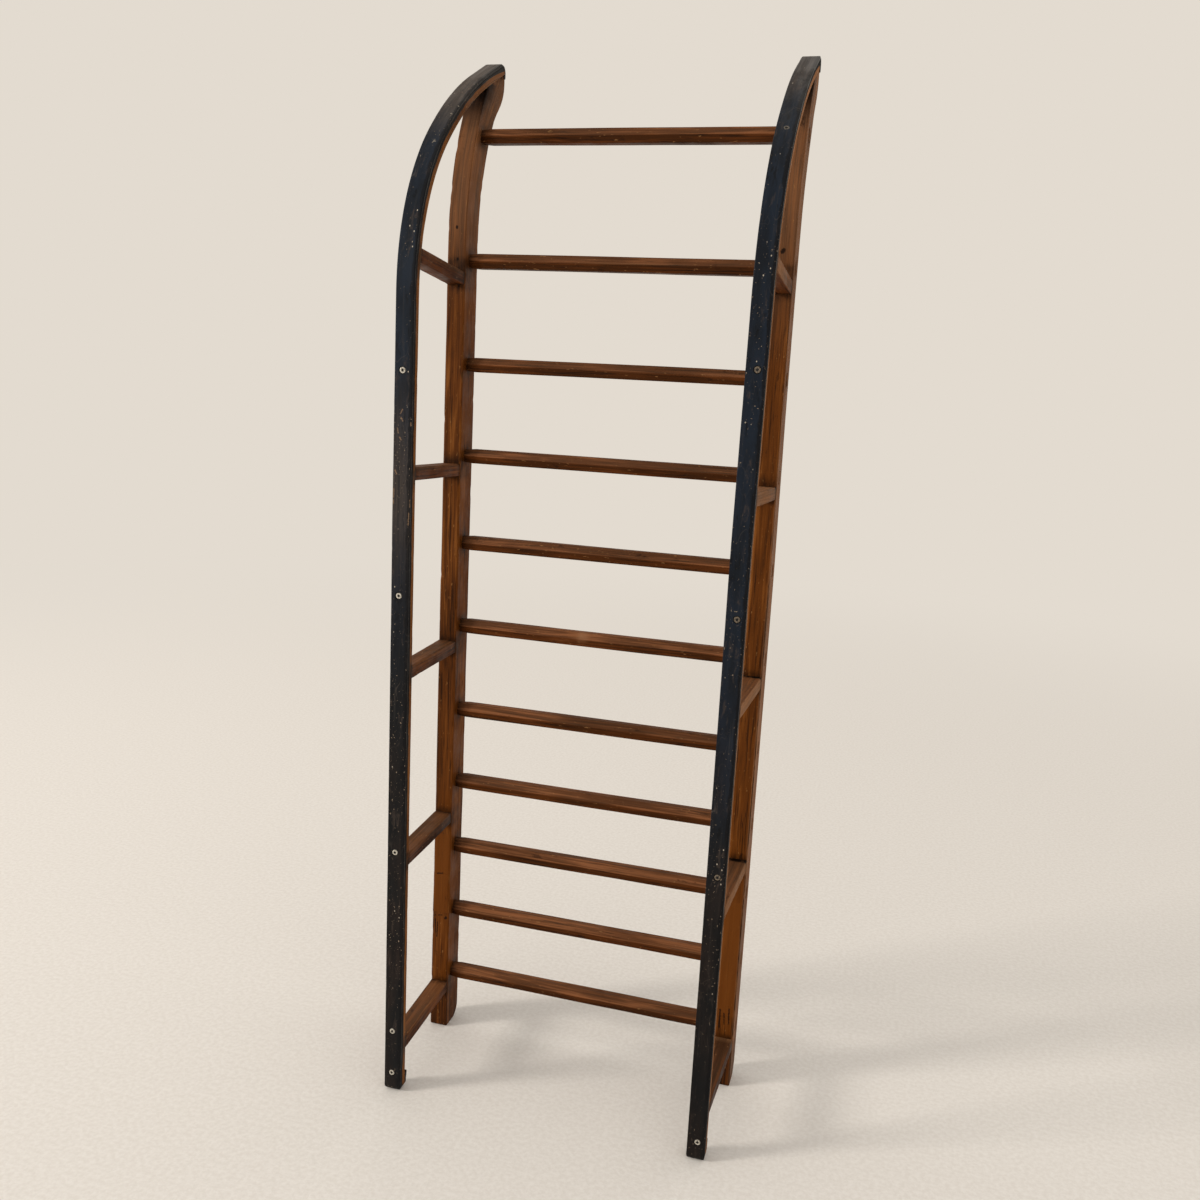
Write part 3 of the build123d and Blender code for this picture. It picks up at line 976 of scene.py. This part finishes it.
def make_rail(name, side):
    """Deck bar with its rounded heel and its bent nose, and shallow mortises round the tenon ends."""
    seed = 21 + side
    nose_start = nose_height()
    peak = strip_back_height(tip_reach, strip_thick) - 0.5 * MM
    lap_end = strip_back_height(overall_depth, 0.0) - TIP_LAP
    line = back_line()
    heights = [HEEL_ROUND * (1 - cos(k * pi / 24)) for k in range(13)]
    heights += spaced(HEEL_ROUND, RAIL_BEND_START, STEP)[1:]
    heights += spaced(RAIL_BEND_START, nose_start, BEND_STEP)[1:]
    heights += spaced(nose_start, peak, FINE_STEP)[1:]
    heights += [lap_end - 0.15 * MM, lap_end + 0.05 * MM]
    heights += [edge + off for edge in PLATE_EDGES[side] for off in (-LOOP, LOOP)]
    rings = []
    for height in sorted(heights):
        front = rail_face(height) + end_cut(height, TOE_ROUND) - plate(side, height)
        back = rail_back(height, line) - end_cut(height, HEEL_ROUND)
        front = max(front, strip_back(height, strip_thick) + 0.1 * MM)
        back = min(back, (tip_reach if height > lap_end else overall_depth) - 0.1 * MM)
        half_t = max((back - front) / 2, 0.3 * MM)
        draw = end_cut(height, RAIL_END_DRAW)
        flare = NOSE_FLARE * end_share(height, *FLARE_RANGE) if side < 0 else 0.0
        ring = []
        for a, t in rounded_ring(rail_half - draw, half_t, worn_radii(RAIL_EDGE, height, seed)):
            dip = 0.5 + 0.5 * wander(a * 30, t * 30, height * 7, seed)
            a *= 1 - RAIL_RIPPLE * dip / rail_half
            widen = flare * (0.5 - side * a / (2 * rail_half)) * (0.5 + t / (2 * half_t))
            a -= side * (pinch(side, height) * (0.5 + side * a / (2 * rail_half)) + widen)
            t *= 1 - min(RAIL_FACE_RIPPLE * dip / half_t, 0.2)
            ring.append((side * rail_mid + a, sole + (front + back) / 2 + t, height))
        rings.append(ring)
    rail = skin(f"rail_{name}_bar", rings, rail_wood)
    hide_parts(f"rail_{name}")
    tools = []
    for low, high in rung_boxes():
        middle = (low + high) / 2
        reach = Vector((0, RUNG_TENON_DEPTH / 2 + MORTISE_GAP, RUNG_TENON_HEIGHT / 2 + MORTISE_GAP))
        ends = sorted((side * (rail_high - MORTISE_SINK), side * (rail_high + 5 * MM)))
        tools.append(block("mortise", (ends[0], (middle - reach).y, (middle - reach).z),
                           (ends[1], (middle + reach).y, (middle + reach).z), MORTISE_EDGE))
    cut(rail, join("mortises", tools))
    neighbours = rung_boxes() + strut_boxes(name)

    def place(point):
        through, along = rail_place(point.y - sole, point.z)
        return point.x - side * rail_mid, through, along

    def tone(point, across, through, along):
        outer = end_share(side * across, rail_half - 3 * MM, rail_half - 0.8 * MM)
        inner = end_share(-side * across, rail_half - 3 * MM, rail_half - 0.8 * MM)
        front = ramp(-through, 14, 20) * (1 - outer)
        nose = end_share(along, (1050 if side < 0 else 980) * MM, 1220 * MM)
        pale = outer * (0.24 + 0.16 * ramp(along, 200, 500) + 0.33 * nose)
        pale *= 1.0 if side > 0 else 0.3
        # Painted shade on the lowest few centimetres of each rail, deeper on the right, which also takes the warmth
        # away
        toe_shade = 1 - ramp(along, 42, 76)
        gap = point.y - sole - strip_back(point.z, strip_thick)
        corner = side > 0 and side * across > rail_half - 1.3 * MM and through < 1.3 * MM - RAIL_DEPTH / 2
        grime = max(joint_grime(point, box, 6 * MM) for box in neighbours)
        in_mortise = (abs(across) < rail_half - 2.2 * MM and side * across > rail_half - 5 * MM
                      and abs(through) < RAIL_DEPTH / 2 - 4 * MM and point.z > 30 * MM)
        sunk = 0.45 * in_mortise
        joint = ramp(3 * MM - gap, 0, 2.5) if point.z > nose_start - 10 * MM else 0.0
        mended = front * (PLATE_EDGES[side][0] < point.z < PLATE_EDGES[side][-1])
        low = 1 - ramp(along, 250, 600)
        warm = front * (0.35 + 0.25 * low) if side > 0 else front * (0.2 + 0.3 * low) + 0.55 * inner
        warm *= (1 - nose) * (1 - toe_shade)
        light = 0.1 * wander(along * 4, 0, 0, seed) + 0.08 * mended
        light -= 0.06 * (1 - front) * (1 - outer)
        light -= (0.12 if side < 0 else 0.24) * nose * (1 - outer) + (0.16 if side < 0 else 0.4) * toe_shade
        if side < 0:
            light -= 0.22 * dab(point, -0.218, 0.535, 60 * MM) * front
        else:
            light += 0.1 * ramp(along, 840, 960) * (1 - nose)
        # Painted shade in the narrow pocket between the runner's back and the bent rail's front: it darkens the
        # wood, takes away its dryness, evens its grain and adds to the grime share
        shade = front * (1 - ramp(gap, 16, 76)) if point.z > BEND_START else 0.0
        dry = max(pale, 0.24 * nose * (1 - outer))
        grime = max(0.55 * grime * (1 - outer), sunk, 0.9 * joint, 0.75 * shade * shade, 0.55 * corner)
        return (dry * (1 - shade), grime, light + 0.12 * inner - shade, max(warm, 0.6 * mended),
                max(mended, shade))

    paint(rail, place, rail_half, RAIL_DEPTH / 2, tone, seed)


def nose_height():
    """Height at which the runner's back meets the front of the bent rail."""
    low, high = RAIL_BEND_START, strip_back_height(tip_reach, strip_thick)
    for _ in range(40):
        middle = (low + high) / 2
        if strip_back(middle, strip_thick) < rail_face(middle):
            low = middle
        else:
            high = middle
    return low


def make_strut(name, side, number):
    """Strut that widens from the runner to the rail, its foot following the back of the runner."""
    seed = 31 + number + 7 * side
    near, far = (height * MM for height in STRUT_HEIGHTS[number - 1])
    foot_sway = sway(side, near)
    rings = []
    for share in spaced(0.0, 1.0, 0.04):
        inner = runner_low + (rail_low - runner_low) * share + STRUT_INSET
        outer = runner_high + (rail_high - pinch(side, far) - runner_high) * share - STRUT_INSET
        half_a = (outer - inner) / 2
        middle = side * (outer + inner) / 2 + foot_sway * (1 - share)
        ring = []
        for a, t in rounded_ring(half_a, STRUT_HALF, worn_radii(STRUT_EDGE, share * 0.16, seed)):
            dip = 0.5 + 0.5 * wander(a * 50, t * 50, share * 2, seed)
            a *= 1 - STRUT_RIPPLE * dip / half_a
            t *= 1 - STRUT_RIPPLE * dip / STRUT_HALF
            foot = strip_back(near + t, strip_thick) - 0.4 * MM
            ring.append((middle + a, sole + foot + (rail_front + 0.7 * MM - foot) * share,
                         near + (far - near) * share + t))
        rings.append(ring)
    strut = skin(f"strut_{name}_{number}_post", rings, strut_wood)
    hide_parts(f"strut_{name}_{number}")
    start = strip_back(near, strip_thick)

    def place(point):
        share = (point.y - sole - start) / (rail_front - start)
        middle = side * (runner_mid + (rail_mid - runner_mid) * share) + foot_sway * (1 - share)
        half = runner_half + (rail_half - runner_half) * share
        return (point.x - middle) * 12 * MM / half, point.z - near - (far - near) * share, point.y - sole

    def tone(point, across, through, along):
        ends = max(ramp(start + 10 * MM - along, 0, 10),
                   ramp(along - rail_front + 12 * MM, 0, 12))
        top = ramp(through, 4, 7.5)
        outer = ramp(across, 9, 11.5) if side > 0 else 0.0
        dusty = max(0.2 * top + (0.3 if side > 0 and number == 2 else 0.0), 0.6 * outer)
        if side > 0 and 1 < number < 5:
            ends = max(ends, 1.3 * top * end_share(along, rail_front - 13 * MM, rail_front - 6 * MM))
        light = 0.12 * wander(along * 20, 0, 0, seed) - 0.08 * top - (0.1 if side > 0 else 0.04)
        if side > 0 and number == 5:
            rim = 0.5 * top * end_share(along, rail_front - 9 * MM, rail_front - 3 * MM)
            dusty, ends, light = max(0.1 * top, rim), ends * (1 - rim), light - 0.3
        return dusty, 0.75 * ends * ends, light, 0.1, 0.0

    paint(strut, place, 12 * MM, STRUT_HALF, tone, seed)


def rung_ring(share, seed, along):
    """The rung's six-facet section with softened corners, as (depth, height) points."""
    corners = []
    for index, (d, h) in enumerate(RUNG_SECTION_SHARES):
        waver = 0.035 * wander(along * 6, index, 0, seed)
        corners.append(Vector((d * RUNG_DEPTH, h * RUNG_HEIGHT)) * (1 - share - 0.035 + waver))
    points = []
    for index, corner in enumerate(corners):
        before, after = corners[index - 1], corners[(index + 1) % len(corners)]
        soft = 0.9 * MM * (1 + 1.5 * max(0.0, wander(along * 12, index, 3, seed)))
        start = corner + (before - corner).normalized() * soft
        end = corner + (after - corner).normalized() * soft
        middle = (start + end + 2 * corner) / 4
        points += [start, middle, end, end + (after - end) * 0.12, (end + after) / 2, after + (end - after) * 0.16]
    return points


def make_rung(number):
    """Hand-planed rung that tapers a little into each rail, with its two tenon ends."""
    seed = 51 + number
    low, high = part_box(f"rung_{number:02d}")
    centre = (low + high) / 2
    reach = rail_low + RUNG_REACH
    rings = []
    for x in spaced(-reach, reach, STEP):
        share = RUNG_TAPER_SHARE * (1 - end_share(reach - abs(x), 0.0, RUNG_TAPER_LENGTH))
        rise = RUNG_SWAY * wander(x * 3, 0, 0, seed)
        rings.append([(x, centre.y + point.x, centre.z + point.y + rise) for point in rung_ring(share, seed, x)])
    rung = skin(f"rung_{number:02d}_bar", rings, rung_wood)
    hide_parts(f"rung_{number:02d}")
    parts = [rung]
    for side in (-1, 1):
        short = (0.5 + 1.0 * abs(wander(number * 3.7, side))) * MM
        ends = sorted((side * (rail_high - MORTISE_SINK + 0.2 * MM), side * (rail_high - short)))
        half_y, half_z = RUNG_TENON_DEPTH / 2, RUNG_TENON_HEIGHT / 2
        parts.append(block("tenon", (ends[0], centre.y - half_y, centre.z - half_z),
                           (ends[1], centre.y + half_y, centre.z + half_z), TENON_EDGE))
    rung = join(rung.name, parts)

    def place(point):
        return point.y - centre.y, point.z - centre.z, point.x

    def tone(point, across, through, along):
        # Where the rung goes into a rail it darkens, with dirt in the socket and painted shade
        ends = end_share(abs(along), rail_low - 14 * MM, rail_low) * (abs(along) < rail_low + 3 * MM)
        tenon = 0.55 if abs(along) > rail_low + 3 * MM else 0.0
        # Painted light and shade: the upper facets lighter and paler, the lower facets darker and warmer; the pale
        # on top is also dust
        top = ramp(through, -0.4, 0.9)
        # The crest is a painted highlight along the front ridge; on rung 2 it also places the scuffed wear
        crest = ramp(1.2 * MM - abs(through - 0.6 * MM), 0, 0.8) * (across < 0)
        worn = 0.8 * dab(point, -0.0219, 0.6296, 6 * MM) if number == 6 else 0.0
        worn += 0.35 * dab(point, 0.02, 1.131, 60 * MM) * crest if number == 2 else 0.0
        light = 0.12 * wander(along * 9, 0, 0, seed) + 0.14 * top - 0.24 * (1 - top) + 0.2 * crest
        return 0.22 * top + tenon + worn, 0.6 * ends * ends + 0.3 * tenon, light, 0.3 * (1 - top), 0.0

    paint(rung, place, 12 * MM, 12 * MM, tone, seed)


def make_stage():
    """Pale floor that fades into the plain pale background."""
    count, radii = 96, [0.0, 0.5, 1.0, 2.0, 3.5, 6.0, 9.0]
    points = [(0.0, 0.0, 0.0)]
    faces = []
    for radius in radii[1:]:
        points += [(x, y, 0.0) for x, y in circle(radius, count)]
    for k in range(count):
        nxt = (k + 1) % count
        faces.append((0, 1 + k, 1 + nxt))
        for a in range(1, 1 + (len(radii) - 2) * count, count):
            faces.append((a + k, a + count + k, a + count + nxt, a + nxt))
    floor_mesh = bpy.data.meshes.new("floor")
    floor_mesh.from_pydata(points, [], faces)
    floor = link("floor", floor_mesh)
    n = Coats("pale_floor")
    where = n.where()
    weave = n.noise(where, 160.0, 5.0, 0.6)
    n.base = "dfd8cf"
    n.lay("e8e2da", n.span(weave, 0.3, 0.7))
    n.finish({"Roughness": 0.9, "Specular IOR Level": 0.1, "Normal": n.bump(weave, 0.25, 1.5 * MM)})
    # Far out the floor takes the background's own colour
    away = n.vector("LENGTH", {0: where}, "Value")
    glow = n.add("ShaderNodeEmission", {"Color": BACKGROUND, "Strength": 1.0}).outputs[0]
    mixed = n.add("ShaderNodeMixShader", {0: n.span(away, 1.2, 4.5), 1: n.surface.outputs[0], 2: glow})
    n.feed(mixed.outputs[0], n.tree.nodes["Material Output"].inputs["Surface"])
    floor.data.materials.append(n.material)


BACKGROUND = "e3dbd0"
WORLD_FILL = 0.80


def make_world():
    """Even soft fill light, and the pale background where the camera or a reflection looks."""
    world = bpy.data.worlds.new("studio")
    bpy.context.scene.world = world
    world.use_nodes = True
    n = Nodes(world.node_tree)
    fill = n.fill(n.tree.nodes["Background"], {"Color": (1.0, 0.975, 0.94, 1.0), "Strength": WORLD_FILL})
    seen = n.add("ShaderNodeBackground", {"Color": BACKGROUND, "Strength": 1.0})
    path = n.add("ShaderNodeLightPath").outputs
    mirrored = n.math("MAXIMUM", path["Is Glossy Ray"], path["Is Transmission Ray"])
    mix = n.add("ShaderNodeMixShader", {0: n.math("MAXIMUM", path["Is Camera Ray"], mirrored),
                                        1: fill.outputs[0], 2: seen.outputs[0]})
    n.feed(mix.outputs[0], n.tree.nodes["World Output"].inputs["Surface"])


# Key light: how far the light travels right and back on the floor, how low it stands, and its size
KEY_HEADING = Vector((0.87, 0.50))
KEY_ELEVATION = radians(19)
KEY_DISTANCE = 9.0
KEY_SIZE = 1.8
KEY_POWER = 470


def make_lights():
    """One large soft key light from the left and front."""
    target = Vector((0, 0, 0.6))
    flat = KEY_HEADING.normalized() * cos(KEY_ELEVATION)
    travel = Vector((flat.x, flat.y, -sin(KEY_ELEVATION)))
    data = bpy.data.lights.new("key", "AREA")
    data.shape = "DISK"
    data.size = KEY_SIZE
    data.energy = KEY_POWER
    data.color = (1.0, 0.965, 0.92)
    key = link("key", data)
    key.location = target - travel * KEY_DISTANCE
    key.rotation_mode = "QUATERNION"
    key.rotation_quaternion = travel.to_track_quat("-Z", "Y")


# Camera: its place, where it turns from straight ahead, and its focal length for a 36 mm sensor
CAMERA_PLACE = Vector((0.3885, -1.2566 + sole, 0.9783))
CAMERA_YAW = radians(-15.11)
CAMERA_PITCH = radians(-11.195)
CAMERA_ROLL = radians(2.923)
CAMERA_LENS = 33.19


def make_camera():
    data = bpy.data.cameras.new("camera")
    data.sensor_width = 36
    data.lens = CAMERA_LENS
    data.clip_start = 0.05
    camera = link("camera", data)
    turn = Matrix.Rotation(-CAMERA_YAW, 4, "Z") @ Matrix.Rotation(pi / 2 + CAMERA_PITCH, 4, "X")
    camera.matrix_world = Matrix.Translation(CAMERA_PLACE) @ turn @ Matrix.Rotation(CAMERA_ROLL, 4, "Z")
    bpy.context.scene.camera = camera


for side_name, side_sign in SIDES:
    make_shoe(side_name, side_sign)
    make_runner(side_name, side_sign)
    make_rail(side_name, side_sign)
    for strut_number in STRUTS:
        make_strut(side_name, side_sign, strut_number)
for rung_number in RUNGS:
    make_rung(rung_number)
make_stage()
make_world()
make_lights()
make_camera()
bpy.context.scene.view_settings.view_transform = "Standard"
